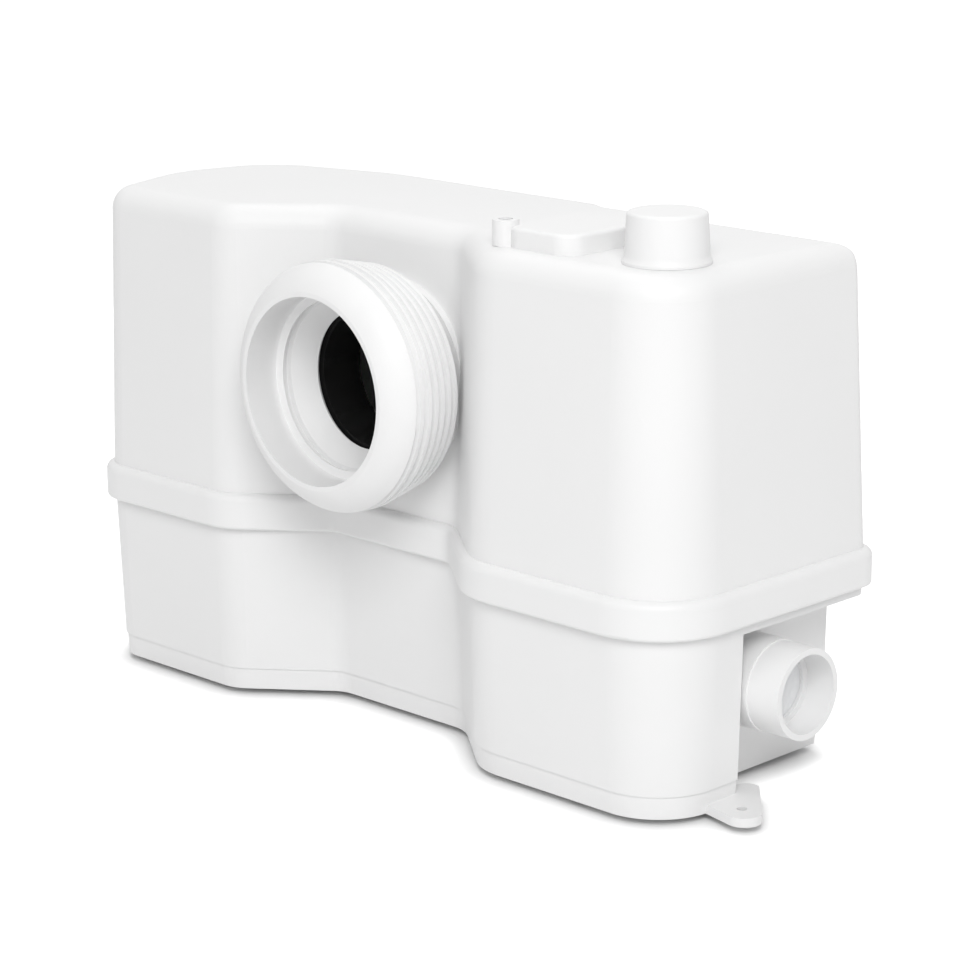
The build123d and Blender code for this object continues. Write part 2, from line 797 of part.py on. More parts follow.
# Service cover with its screw boss, captive screw, seal and the vent's filter
boss_top = case_top + screw_boss_height
slab_inside = case_top + slab_height - slab_roof
with BuildPart() as service_cover:
    add(slab(slab_left, slab_right, slab_front, slab_back, case_top, case_top + slab_height, slab_corner))
    fillet(service_cover.faces().sort_by(Axis.Z)[-1].edges(), slab_edge)
    add(slab(slab_left + slab_wall, slab_right - slab_wall, slab_front + slab_wall, slab_back - slab_wall,
             case_top - 1, slab_inside, slab_corner - slab_wall), mode=Mode.SUBTRACT)
    add(ring(screw_boss, case_top, boss_top, screw_boss_radius))
    add(slab(box_left - 2, box_left + 8, box_front - 0.5, box_front + 8, case_top - 1, slab_inside),
        mode=Mode.SUBTRACT)
    add(ring(screw_boss, case_top - 1, boss_top + 1, service_screw_radius + screw_clearance),
        mode=Mode.SUBTRACT)
    add(ring(screw_boss, boss_top - service_head_depth, boss_top + 1, service_head_radius + screw_clearance),
        mode=Mode.SUBTRACT)
    for across in vent_slots:
        add(slab(across - vent_slot_width / 2, across + vent_slot_width / 2, slab_back - slab_wall - 1,
                 slab_back + 1, case_top - 1, case_top + vent_slot_height), mode=Mode.SUBTRACT)
service_cover.part.label = "service_cover"
export_step(service_cover.part, "parts/service_cover.step")

with BuildPart() as service_screw:
    add(ring(screw_boss, boss_top - service_head_depth, boss_top - 1, service_head_radius))
    add(ring(screw_boss, case_top - service_boss_depth + 3, boss_top - service_head_depth + 0.5,
             service_screw_radius))
service_screw.part.label = "service_screw"
export_step(service_screw.part, "parts/service_screw.step")

with BuildPart() as service_seal:
    add(slab(box_left, box_right, box_front, box_back, case_top + hatch_rim, slab_inside - fit, hatch_corner))
    add(box_inside(case_top + hatch_rim - 1, case_top + slab_height), mode=Mode.SUBTRACT)
service_seal.part.label = "service_seal"
export_step(service_seal.part, "parts/service_seal.step")

with BuildPart() as vent_filter:
    add(ring(vent_place, filter_bottom, filter_top, filter_radius))
vent_filter.part.label = "vent_filter"
export_step(vent_filter.part, "parts/vent_filter.step")

# Control box under the hatch, with its board and capacitor
with BuildPart() as control_box:
    add(slab(box_left, box_right, box_front, box_back, box_bottom, ceiling, hatch_corner))
    add(box_inside(box_bottom + box_wall, ceiling + 1), mode=Mode.SUBTRACT)
control_box.part.label = "control_box"
export_step(control_box.part, "parts/control_box.step")

with BuildPart() as control_board:
    add(slab(box_left + board_inset, box_right - board_inset, board_face, board_face + board_thickness,
             box_bottom + box_wall, box_bottom + board_height))
control_board.part.label = "control_board"
export_step(control_board.part, "parts/control_board.step")

with BuildPart() as capacitor:
    add(ring(((box_left + box_right) / 2, capacitor_y), box_bottom + box_wall, box_bottom + capacitor_height,
             capacitor_radius))
capacitor.part.label = "capacitor"
export_step(capacitor.part, "parts/capacitor.step")

# Discharge: outlet spigot in its grommet, valve body with flap and pin, pipe and pipe seal
spigot_socket = valve_top - 9
with BuildPart() as outlet_spigot:
    add(ring(outlet_place, spigot_socket, outlet_top, outlet_radius, outlet_bore))
    add(ring(outlet_place, valve_top, outlet_top - outlet_grip, outlet_root_radius, outlet_bore))
    add(ring(outlet_place, valve_top, valve_top + outlet_collar, outlet_radius + outlet_collar, outlet_bore))
outlet_spigot.part.label = "outlet_spigot"
export_step(outlet_spigot.part, "parts/outlet_spigot.step")

well_floor = case_top - well_depth
grommet_lip = 2.5
grommet_bore = outlet_root_radius + fit
with BuildPart() as outlet_grommet:
    add(ring(outlet_place, well_floor - wall - grommet_lip, well_floor - wall, grommet_hole + 2, grommet_bore))
    add(ring(outlet_place, well_floor - wall, well_floor, grommet_hole - fit, grommet_bore))
outlet_grommet.part.label = "outlet_grommet"
export_step(outlet_grommet.part, "parts/outlet_grommet.step")

valve_outer = valve_inner + valve_wall
valve_pin_x = outlet_place[0] - 9.6
valve_pin_height = valve_seat_height + fit + 1.95
valve_pin_radius = 0.9
valve_pin_plane = Plane(origin=(valve_pin_x, outlet_place[1] + 11, valve_pin_height), x_dir=(1, 0, 0),
                        z_dir=(0, -1, 0))
with BuildPart() as valve_body:
    with BuildSketch(upright(outlet_place)):
        with BuildLine():
            Polyline(
                (pipe_radius + fit, valve_bottom),
                (valve_outer, valve_bottom),
                (valve_outer, spigot_socket - 2),
                (outlet_radius + 3, spigot_socket),
                (outlet_radius + 3, valve_top),
                (outlet_radius + fit, valve_top),
                (outlet_radius + fit, spigot_socket),
                (outlet_bore, spigot_socket),
                (outlet_bore, spigot_socket - 3),
                (valve_inner, spigot_socket - 7),
                (valve_inner, valve_seat_height),
                (valve_seat_bore, valve_seat_height),
                (valve_seat_bore, valve_seat_height - 2),
                (pipe_radius + fit, valve_seat_height - 2),
                close=True,
            )
        make_face()
    revolve(axis=upright_axis(outlet_place))
    add(tube_along(valve_pin_plane, 22, valve_pin_radius + pin_fit), mode=Mode.SUBTRACT)
valve_body.part.label = "valve_body"
export_step(valve_body.part, "parts/valve_body.step")

with BuildPart() as valve_flap:
    add(ring(outlet_place, valve_seat_height + fit, valve_seat_height + fit + valve_flap_thickness,
             valve_flap_radius))
    add(slab(valve_pin_x - 5, valve_pin_x, outlet_place[1] - 20, outlet_place[1] + 20, valve_seat_height,
             valve_seat_height + 5), mode=Mode.SUBTRACT)
    add(tube_along(Plane(origin=(valve_pin_x, outlet_place[1] + 4.3, valve_pin_height), x_dir=(1, 0, 0),
                         z_dir=(0, -1, 0)), 8.6, 1.9))
    add(tube_along(valve_pin_plane, 22, valve_pin_radius + hinge_play), mode=Mode.SUBTRACT)
valve_flap.part.label = "valve_flap"
export_step(valve_flap.part, "parts/valve_flap.step")

with BuildPart() as valve_pin:
    add(tube_along(valve_pin_plane, 22, valve_pin_radius))
valve_pin.part.label = "valve_pin"
export_step(valve_pin.part, "parts/valve_pin.step")

outlet_line_y = pump_y - volute_inner - volute_growth + pipe_bore + 0.5
outlet_line_z = (volute_bottom + volute_roof) / 2 + 1.5
with BuildPart() as discharge_pipe:
    with BuildLine():
        FilletPolyline(
            (pipe_end_x + 0.2, outlet_line_y, outlet_line_z),
            (outlet_place[0], outlet_line_y, outlet_line_z),
            (outlet_place[0], outlet_line_y, 115),
            (outlet_place[0], outlet_place[1], 165),
            (outlet_place[0], outlet_place[1], valve_seat_height - 2.1),
            radius=[pipe_bend, 40, 40],
        )
    with BuildSketch(Plane(origin=(pipe_end_x + 0.2, outlet_line_y, outlet_line_z), x_dir=(0, 1, 0),
                           z_dir=(1, 0, 0))):
        Circle(pipe_radius)
        Circle(pipe_bore, mode=Mode.SUBTRACT)
    sweep()
discharge_pipe.part.label = "discharge_pipe"
export_step(discharge_pipe.part, "parts/discharge_pipe.step")

with BuildPart() as pipe_seal:
    seal_plane = Plane(origin=(pipe_seal_start, outlet_line_y, outlet_line_z), x_dir=(0, 1, 0), z_dir=(1, 0, 0))
    add(tube_along(seal_plane, pipe_seal_length, pipe_radius + 2, pipe_radius + fit))
pipe_seal.part.label = "pipe_seal"
export_step(pipe_seal.part, "parts/pipe_seal.step")

# Pump: volute with legs, suction plate, impeller, cutter, nut, shaft
screw_circle = 48.5


def spiral(angle):
    """Point on the volute's spiral wall."""
    radius = volute_inner + volute_growth * angle / 360
    turn = radians(angle - 90)
    return (pump_x + radius * cos(turn), pump_y - radius * sin(turn))


with BuildPart() as volute_housing:
    add(ring(pump_place, volute_bottom, volute_roof + 1, volute_outer))
    add(ring(pump_place, volute_roof, volute_roof + roof_thickness, pump_flange))
    outlet_plane = Plane(origin=(pump_x, outlet_line_y, outlet_line_z), x_dir=(0, 1, 0), z_dir=(1, 0, 0))
    add(tube_along(outlet_plane, pipe_end_x - pump_x, pipe_radius))
    for place in foot_places:
        add(ring(place, foot_bottom, volute_roof - 4, foot_radius))
        add(ring(place, floor_inside + 2, foot_bottom + 1, foot_pin_radius))
    with BuildSketch(Plane.XY.offset(volute_bottom)):
        with BuildLine():
            for start in (0, 90, 180, 270):
                ThreePointArc(spiral(start), spiral(start + 45), spiral(start + 90))
            Line(spiral(360), spiral(0))
        make_face()
    extrude(amount=volute_roof - volute_bottom, mode=Mode.SUBTRACT)
    add(tube_along(outlet_plane, pipe_end_x, pipe_bore), mode=Mode.SUBTRACT)
    add(ring(pump_place, volute_roof - 1, volute_roof + roof_thickness + 1, 16), mode=Mode.SUBTRACT)
    with BuildSketch(Plane.XY.offset(volute_roof + 0.4)):
        with Locations(pump_place):
            with PolarLocations(screw_circle, 5):
                Circle(1.65)
    extrude(amount=roof_thickness, mode=Mode.SUBTRACT)
    with BuildSketch(Plane.XY.offset(volute_bottom)):
        with Locations(pump_place):
            with PolarLocations(screw_circle, 4, start_angle=15):
                Circle(1.65)
    extrude(amount=8, mode=Mode.SUBTRACT)
volute_housing.part.label = "volute_housing"
export_step(volute_housing.part, "parts/volute_housing.step")

suction_bottom = volute_bottom - suction_plate_thickness
with BuildPart() as cutter_ring:
    with BuildSketch(Plane.XY.offset(suction_bottom)):
        with Locations(pump_place):
            Circle(volute_outer)
            Circle(suction_hole, mode=Mode.SUBTRACT)
            with PolarLocations(suction_hole, 8):
                Circle(2.0, mode=Mode.SUBTRACT)
            with PolarLocations(screw_circle, 4, start_angle=15):
                Circle(1.8, mode=Mode.SUBTRACT)
        with Locations(*foot_places):
            Circle(foot_radius + fit, mode=Mode.SUBTRACT)
    extrude(amount=suction_plate_thickness)
cutter_ring.part.label = "cutter_ring"
export_step(cutter_ring.part, "parts/cutter_ring.step")

with BuildPart() as pump_screws:
    with BuildSketch(Plane.XY.offset(suction_bottom - 2.5)):
        with Locations(pump_place):
            with PolarLocations(screw_circle, 4, start_angle=15):
                Circle(3.0)
    extrude(amount=2.5)
    with BuildSketch(Plane.XY.offset(suction_bottom - 1)):
        with Locations(pump_place):
            with PolarLocations(screw_circle, 4, start_angle=15):
                Circle(1.6)
    extrude(amount=suction_plate_thickness + 8)
pump_screws.part.label = "pump_screws"
export_step(pump_screws.part, "parts/pump_screws.step")

impeller_top = volute_roof - 2
with BuildPart() as impeller:
    add(ring(pump_place, impeller_top - 3, impeller_top, impeller_radius))
    add(ring(pump_place, volute_bottom + 2, impeller_top, 11))
    with BuildSketch(Plane.XY.offset(volute_bottom + 3)):
        with Locations(pump_place):
            with PolarLocations(0, 5):
                with BuildLine():
                    vane_arc = ThreePointArc((8, 0), (21, 7), (32.2, 4 + 4))
                SlotArc(vane_arc, 2.4)
    extrude(amount=impeller_top - volute_bottom - 4)
    add(ring(pump_place, volute_bottom, impeller_top + 1, shaft_radius + pin_fit), mode=Mode.SUBTRACT)
impeller.part.label = "impeller"
export_step(impeller.part, "parts/impeller.step")

with BuildPart() as cutter_head:
    add(ring(pump_place, 18, volute_bottom + 2 - fit, 8.5))
    with BuildSketch(Plane.XY.offset(suction_bottom + 0.5)):
        with Locations(pump_place):
            with PolarLocations(8.1, 3):
                Rectangle(16.2, 6)
    extrude(amount=suction_plate_thickness - 1)
    add(ring(pump_place, 17, volute_bottom + 3, shaft_radius + pin_fit), mode=Mode.SUBTRACT)
cutter_head.part.label = "cutter_head"
export_step(cutter_head.part, "parts/cutter_head.step")

with BuildPart() as cutter_nut:
    with BuildSketch(Plane.XY.offset(shaft_end + 0.5)):
        with Locations(pump_place):
            RegularPolygon(9.5, 6)
            Circle(shaft_radius + pin_fit, mode=Mode.SUBTRACT)
    extrude(amount=5)
cutter_nut.part.label = "cutter_nut"
export_step(cutter_nut.part, "parts/cutter_nut.step")

core_bottom = 100.0
core_top = 158.0
core_shaft_radius = 7.5
plate_bottom = volute_roof + roof_thickness
bearing_bottom = plate_bottom + 12.0
upper_bearing_bottom = can_top - bearing_length
with BuildPart() as motor_shaft:
    with BuildSketch(upright(pump_place)):
        with BuildLine():
            Polyline(
                (0, shaft_end),
                (shaft_radius, shaft_end),
                (shaft_radius, bearing_bottom),
                (core_shaft_radius, bearing_bottom),
                (core_shaft_radius, upper_bearing_bottom - 10),
                (shaft_radius, upper_bearing_bottom - 10),
                (shaft_radius, can_top + 2),
                (0, can_top + 2),
                close=True,
            )
        make_face()
    revolve(axis=upright_axis(pump_place))
motor_shaft.part.label = "motor_shaft"
export_step(motor_shaft.part, "parts/motor_shaft.step")

# Rubber feet of the pump
with BuildPart() as pump_feet:
    for place in foot_places:
        add(ring(place, floor_inside, foot_bottom, foot_radius, foot_pin_radius + fit))
pump_feet.part.label = "pump_feet"
export_step(pump_feet.part, "parts/pump_feet.step")

# Bearing plate between pump and motor, with seal and lower bearing
with BuildPart() as bearing_plate:
    with BuildSketch(upright(pump_place)):
        with BuildLine():
            Polyline(
                (12.1, plate_bottom - roof_thickness),
                (15.9, plate_bottom - roof_thickness),
                (15.9, plate_bottom),
                (pump_flange, plate_bottom),
                (pump_flange, can_bottom),
                (20, can_bottom),
                (20, bearing_bottom + 14),
                (16.05, bearing_bottom + 14),
                (16.05, bearing_bottom),
                (7.0, bearing_bottom),
                (7.0, plate_bottom + 4),
                (12.1, plate_bottom + 4),
                close=True,
            )
        make_face()
    revolve(axis=upright_axis(pump_place))
    with BuildSketch(Plane.XY.offset(plate_bottom)):
        with Locations(pump_place):
            with PolarLocations(screw_circle, 5):
                Circle(1.8)
    extrude(amount=can_bottom - plate_bottom, mode=Mode.SUBTRACT)
bearing_plate.part.label = "bearing_plate"
export_step(bearing_plate.part, "parts/bearing_plate.step")

with BuildPart() as shaft_seal:
    add(ring(pump_place, plate_bottom - 5, plate_bottom + 4, 12.0, shaft_radius + shaft_play))
shaft_seal.part.label = "shaft_seal"
export_step(shaft_seal.part, "parts/shaft_seal.step")

with BuildPart() as lower_bearing:
    add(ring(pump_place, bearing_bottom, bearing_bottom + bearing_length, 16.0, core_shaft_radius + shaft_play))
lower_bearing.part.label = "lower_bearing"
export_step(lower_bearing.part, "parts/lower_bearing.step")

# Motor: can with its flange and screws, stator, windings, rotor core, lid, upper bearing, damper
with BuildPart() as motor_can:
    add(ring(pump_place, can_bottom, can_top, can_radius))
    add(ring(pump_place, can_bottom, can_bottom + flange_thickness, pump_flange))
    add(ring(pump_place, can_bottom - 1, can_top + 1, can_radius - can_wall), mode=Mode.SUBTRACT)
    with BuildSketch(Plane.XY.offset(can_bottom)):
        with Locations(pump_place):
            with PolarLocations(screw_circle, 5):
                Circle(1.8)
    extrude(amount=flange_thickness, mode=Mode.SUBTRACT)
motor_can.part.label = "motor_can"
export_step(motor_can.part, "parts/motor_can.step")

with BuildPart() as can_screws:
    with BuildSketch(Plane.XY.offset(can_bottom + flange_thickness)):
        with Locations(pump_place):
            with PolarLocations(screw_circle, 5):
                Circle(3.0)
    extrude(amount=2.5)
    with BuildSketch(Plane.XY.offset(volute_roof + 0.8)):
        with Locations(pump_place):
            with PolarLocations(screw_circle, 5):
                Circle(1.6)
    extrude(amount=can_bottom + flange_thickness - volute_roof)
can_screws.part.label = "can_screws"
export_step(can_screws.part, "parts/can_screws.step")

with BuildPart() as stator_core:
    with BuildSketch(Plane.XY.offset(core_bottom)):
        with Locations(pump_place):
            Circle(can_radius - can_wall - fit)
            Circle(24.6, mode=Mode.SUBTRACT)
            with PolarLocations(29, 8):
                Rectangle(9, 5, mode=Mode.SUBTRACT)
    extrude(amount=core_top - core_bottom)
stator_core.part.label = "stator_core"
export_step(stator_core.part, "parts/stator_core.step")

with BuildPart() as stator_windings:
    add(ring(pump_place, core_bottom - 14, core_bottom, 37.5, 27))
    add(ring(pump_place, core_top, core_top + 14, 37.5, 27))
stator_windings.part.label = "stator_windings"
export_step(stator_windings.part, "parts/stator_windings.step")

with BuildPart() as rotor_core:
    add(ring(pump_place, core_bottom, core_top, 24.1, core_shaft_radius + pin_fit))
    add(ring(pump_place, core_bottom - 5, core_top + 5, 21, core_shaft_radius + pin_fit))
rotor_core.part.label = "rotor_core"
export_step(rotor_core.part, "parts/rotor_core.step")

lid_top = can_top + 8
with BuildPart() as motor_lid:
    add(ring(pump_place, can_top, lid_top, can_radius))
    add(ring(pump_place, can_top - 6, can_top + 1, can_radius - can_wall - fit))
    add(ring(pump_place, upper_bearing_bottom, can_top, 17))
    add(ring(pump_place, lid_top - 1, column_end + 8, 8))
    add(ring(pump_place, upper_bearing_bottom - 1, can_top, 13.05), mode=Mode.SUBTRACT)
    add(ring(pump_place, can_top - 1, can_top + 3, shaft_radius + 1), mode=Mode.SUBTRACT)
    add(ring(pump_place, can_top - 7, can_top, can_radius - can_wall - 4, 17), mode=Mode.SUBTRACT)
motor_lid.part.label = "motor_lid"
export_step(motor_lid.part, "parts/motor_lid.step")

with BuildPart() as upper_bearing:
    add(ring(pump_place, upper_bearing_bottom, can_top, 13.0, shaft_radius + shaft_play))
upper_bearing.part.label = "upper_bearing"
export_step(upper_bearing.part, "parts/upper_bearing.step")

with BuildPart() as motor_damper:
    add(ring(pump_place, lid_top, column_end, column_radius, 8 + fit))
    add(ring(pump_place, column_end - 1, column_end + 12, damper_radius, 8 + fit))
motor_damper.part.label = "motor_damper"
export_step(motor_damper.part, "parts/motor_damper.step")

# Pressure switch: dip tube, cup, lid, plunger with its diaphragm
cup_wall_top = dip_top + 12
with BuildPart() as dip_tube:
    add(ring(dip_place, floor_inside, dip_top, dip_radius, dip_radius - dip_wall))
    add(dip_slot(0, floor_inside + dip_slot_top), mode=Mode.SUBTRACT)
dip_tube.part.label = "dip_tube"
export_step(dip_tube.part, "parts/dip_tube.step")

with BuildPart() as pressure_switch:
    add(ring(dip_place, dip_top - 10, dip_top, dip_radius + 3, dip_radius + fit))
    add(ring(dip_place, dip_top, dip_top + 2.5, switch_radius, 4))
    add(ring(dip_place, dip_top + 2.5, cup_wall_top, switch_radius, 12.6))
pressure_switch.part.label = "pressure_switch"
export_step(pressure_switch.part, "parts/pressure_switch.step")

with BuildPart() as switch_lid:
    add(ring(dip_place, cup_wall_top, cup_wall_top + 3, switch_radius))
    add(ring(dip_place, cup_wall_top, cup_wall_top + 10, 6))
    add(ring(dip_place, cup_wall_top - 1, cup_wall_top + 11, 3 + fit), mode=Mode.SUBTRACT)
switch_lid.part.label = "switch_lid"
export_step(switch_lid.part, "parts/switch_lid.step")

with BuildPart() as switch_plunger:
    add(ring(dip_place, dip_top + 2.5 + fit, dip_top + 4.5, 12.3))
    add(ring(dip_place, dip_top + 4, cup_wall_top + 7, 3))
switch_plunger.part.label = "switch_plunger"
export_step(switch_plunger.part, "parts/switch_plunger.step")

# Cable gland in the leaning back, with its nut inside
with BuildPart() as cable_gland:
    gland_plane = Plane(origin=(gland_place, 0, gland_height), x_dir=(0, 1, 0), z_dir=(1, 0, 0))
    with BuildSketch(gland_plane):
        with BuildLine():
            Polyline(
                (gland_boss_back - 5, cord_bore),
                (gland_boss_back - 5, gland_bore - fit),
                (gland_boss_face, gland_bore - fit),
                (gland_boss_face, gland_boss_radius - 0.5),
                (gland_boss_face + 2.5, gland_boss_radius - 0.5),
                (gland_boss_face + 3.3, gland_boss_radius - 1.5),
                (gland_boss_face + 7.0, gland_boss_radius - 1.5),
                (gland_boss_face + gland_reach, gland_boss_radius - 3.5),
                (gland_boss_face + gland_reach, cord_bore),
                close=True,
            )
        make_face()
    revolve(axis=Axis((gland_place, 0, gland_height), (0, 1, 0)))
cable_gland.part.label = "cable_gland"
export_step(cable_gland.part, "parts/cable_gland.step")

with BuildPart() as gland_nut:
    with BuildSketch(along_y(gland_place, gland_height, gland_boss_back - 4)):
        RegularPolygon(10, 6)
        Circle(gland_bore, mode=Mode.SUBTRACT)
    extrude(amount=4)
gland_nut.part.label = "gland_nut"
export_step(gland_nut.part, "parts/gland_nut.step")
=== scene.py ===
import json
from math import cos, pi, radians, sin

import bpy
from mathutils import Matrix, Vector


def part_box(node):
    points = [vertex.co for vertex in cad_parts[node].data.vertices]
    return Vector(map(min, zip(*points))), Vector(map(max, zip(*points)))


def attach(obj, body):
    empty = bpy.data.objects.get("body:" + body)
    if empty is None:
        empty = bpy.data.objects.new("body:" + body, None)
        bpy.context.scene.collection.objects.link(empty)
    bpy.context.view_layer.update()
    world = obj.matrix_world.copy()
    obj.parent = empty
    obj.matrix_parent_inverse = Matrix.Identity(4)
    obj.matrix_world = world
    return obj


# Macerator toilet pump: finishes, small moulded detail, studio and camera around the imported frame.
# Everything is in metres, in the frame's own axes.

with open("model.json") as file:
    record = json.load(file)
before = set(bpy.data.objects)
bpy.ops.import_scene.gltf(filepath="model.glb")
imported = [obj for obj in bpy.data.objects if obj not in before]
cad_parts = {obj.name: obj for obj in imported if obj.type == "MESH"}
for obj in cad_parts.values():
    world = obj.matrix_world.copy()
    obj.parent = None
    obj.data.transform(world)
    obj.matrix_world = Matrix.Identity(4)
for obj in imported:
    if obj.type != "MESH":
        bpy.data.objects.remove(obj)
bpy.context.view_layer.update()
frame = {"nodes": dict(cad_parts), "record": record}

# Camera, solved from the photograph: place, aim, roll and lens
CAMERA_AIM = Vector((0.03125, -0.012, 0.130))
CAMERA_TURN = 44.77
CAMERA_RISE = 14.71
CAMERA_DISTANCE = 1.56784
CAMERA_ROLL = -0.39
CAMERA_LENS = 115.53
SENSOR_WIDTH = 36.0

# Painted shade of the service screw's cross recess: a thin dark cross on its head
CROSS_LIFT = 0.00002
CROSS_THICKNESS = 0.0001
CROSS_ARM = 0.0021
CROSS_HALF_WIDTH = 0.00045

# Grip ribs of the cable gland: profile as shares of the half width and the rise
GLAND_RIM = 0.001
GRIP_COUNT = 18
GRIP_SEAT = 0.00005
GRIP_HALF = 0.0007
GRIP_RISE = 0.0006
GRIP_BACK = 0.0058
GRIP_FRONT = 0.0028
GRIP_PROFILE = ((-1, 0), (-0.5, 1), (0.5, 1), (1, 0))

# Studio: the key light's turn, rise and distance are taken round the camera's aim
WORLD_LIGHT = 0.53
KEY_TURN = 46.0
KEY_RISE = 38.0
KEY_DISTANCE = 2.1
KEY_POWER = 20.5
KEY_SIZE = 0.9
TOP_PLACE = (-0.35, 0.25, 1.5)
TOP_POWER = 4.5
TOP_SIZE = 1.0
FLOOR_SIZE = 24.0
FLOOR_COLOUR = (0.9, 0.9, 0.9, 1)
FLOOR_ROUGHNESS = 0.9
FLOOR_GLOSS = 0.1
FLOOR_GLOW = 0.6
CONTACT_REACH = 0.018
CONTACT_POWER = 3.0
WHITE = (1, 1, 1, 1)

# Stretch of a noise: even, or in fine lines along an axis
EVEN = (1.0, 1.0, 1.0)
ALONG_Z = (1.0, 1.0, 14.0)


def new_material(name):
    """Material with nodes, cleared down to a Principled shader and its output."""
    material = bpy.data.materials.new(name)
    material.use_nodes = True
    nodes = material.node_tree.nodes
    nodes.clear()
    output = nodes.new("ShaderNodeOutputMaterial")
    shader = nodes.new("ShaderNodeBsdfPrincipled")
    material.node_tree.links.new(shader.outputs["BSDF"], output.inputs["Surface"])
    return material, shader


def object_noise(material, scale, detail=3.0, stretch=EVEN):
    """Noise in object coordinates, so that it stays put in every view."""
    tree = material.node_tree
    place = tree.nodes.new("ShaderNodeTexCoord")
    mapping = tree.nodes.new("ShaderNodeMapping")
    mapping.inputs["Scale"].default_value = stretch
    noise = tree.nodes.new("ShaderNodeTexNoise")
    noise.inputs["Scale"].default_value = scale
    noise.inputs["Detail"].default_value = detail
    tree.links.new(place.outputs["Object"], mapping.inputs["Vector"])
    tree.links.new(mapping.outputs["Vector"], noise.inputs["Vector"])
    return noise.outputs["Fac"]


def tint(material, shader, factor, dark, light, low=0.35, high=0.65):
    """Base colour that drifts between two close colours."""
    tree = material.node_tree
    ramp = tree.nodes.new("ShaderNodeValToRGB")
    ramp.color_ramp.elements[0].position = low
    ramp.color_ramp.elements[0].color = (*dark, 1)
    ramp.color_ramp.elements[1].position = high
    ramp.color_ramp.elements[1].color = (*light, 1)
    tree.links.new(factor, ramp.inputs["Fac"])
    tree.links.new(ramp.outputs["Color"], shader.inputs["Base Color"])


def roughness_range(material, shader, factor, low, high):
    """Roughness that varies between two values."""
    tree = material.node_tree
    spread = tree.nodes.new("ShaderNodeMapRange")
    spread.inputs["To Min"].default_value = low
    spread.inputs["To Max"].default_value = high
    tree.links.new(factor, spread.inputs["Value"])
    tree.links.new(spread.outputs["Result"], shader.inputs["Roughness"])


def relief(material, shader, factor, depth, strength=1.0):
    """Bump of a real depth in metres."""
    tree = material.node_tree
    bump = tree.nodes.new("ShaderNodeBump")
    bump.inputs["Strength"].default_value = strength
    bump.inputs["Distance"].default_value = depth
    tree.links.new(factor, bump.inputs["Height"])
    tree.links.new(bump.outputs["Normal"], shader.inputs["Normal"])


def moulded_plastic(name, colour, rough):
    """Injection moulded plastic with a fine even grain."""
    drift_scale, gloss_scale, grain_scale = 9.0, 260.0, 1500.0
    grain_depth, grain_strength = 0.00006, 0.35
    material, shader = new_material(name)
    darker = tuple(value * 0.985 for value in colour)
    tint(material, shader, object_noise(material, drift_scale), darker, colour)
    roughness_range(material, shader, object_noise(material, gloss_scale), rough - 0.04, rough + 0.05)
    relief(material, shader, object_noise(material, grain_scale, detail=2.0), grain_depth, grain_strength)
    shader.inputs["Specular IOR Level"].default_value = 0.4
    return material


def soft_rubber(name, colour, rough):
    """Moulded rubber, duller than the plastic, with a slight bloom."""
    bloom_scale, gloss_scale, grain_scale = 22.0, 140.0, 900.0
    grain_depth, grain_strength = 0.0001, 0.4
    material, shader = new_material(name)
    darker = tuple(value * 0.955 for value in colour)
    tint(material, shader, object_noise(material, bloom_scale), darker, colour, 0.3, 0.7)
    roughness_range(material, shader, object_noise(material, gloss_scale), rough - 0.06, rough + 0.06)
    relief(material, shader, object_noise(material, grain_scale, detail=4.0), grain_depth, grain_strength)
    shader.inputs["Specular IOR Level"].default_value = 0.3
    return material


def drawn_metal(name, colour, rough, stretch):
    """Metal with fine drawing or turning lines."""
    line_scale, line_depth, line_strength = 120.0, 0.00003, 0.4
    material, shader = new_material(name)
    darker = tuple(value * 0.86 for value in colour)
    lines = object_noise(material, line_scale, detail=6.0, stretch=stretch)
    tint(material, shader, lines, darker, colour, 0.3, 0.7)
    roughness_range(material, shader, lines, rough - 0.08, rough + 0.08)
    relief(material, shader, lines, line_depth, line_strength)
    shader.inputs["Metallic"].default_value = 1.0
    return material


def wound_copper(name):
    """Lacquered copper wire, wound round and round, with painted shade in the grooves between turns."""
    wire_scale, wire_depth, wire_strength = 420.0, 0.0003, 0.8
    material, shader = new_material(name)
    tree = material.node_tree
    place = tree.nodes.new("ShaderNodeTexCoord")
    wave = tree.nodes.new("ShaderNodeTexWave")
    wave.bands_direction = "Z"
    wave.inputs["Scale"].default_value = wire_scale
    wave.inputs["Distortion"].default_value = 1.5
    tree.links.new(place.outputs["Object"], wave.inputs["Vector"])
    # The colour follows the relief: the dark bands in the grooves between turns are painted shade, and
    # the paler tops are the copper.
    tint(material, shader, wave.outputs["Fac"], (0.28, 0.1, 0.04), (0.72, 0.36, 0.18), 0.1, 0.8)
    relief(material, shader, wave.outputs["Fac"], wire_depth, wire_strength)
    shader.inputs["Metallic"].default_value = 0.9
    shader.inputs["Roughness"].default_value = 0.32
    return material


def circuit_board(name):
    """Green board with slightly raised paler tracks."""
    track_scale, track_depth, track_strength = 180.0, 0.00005, 0.5
    material, shader = new_material(name)
    tree = material.node_tree
    place = tree.nodes.new("ShaderNodeTexCoord")
    brick = tree.nodes.new("ShaderNodeTexBrick")
    brick.inputs["Scale"].default_value = track_scale
    brick.inputs["Color1"].default_value = (0.02, 0.16, 0.06, 1)
    brick.inputs["Color2"].default_value = (0.03, 0.2, 0.08, 1)
    brick.inputs["Mortar"].default_value = (0.12, 0.4, 0.18, 1)
    tree.links.new(place.outputs["Object"], brick.inputs["Vector"])
    tree.links.new(brick.outputs["Color"], shader.inputs["Base Color"])
    relief(material, shader, brick.outputs["Fac"], track_depth, track_strength)
    shader.inputs["Roughness"].default_value = 0.35
    return material


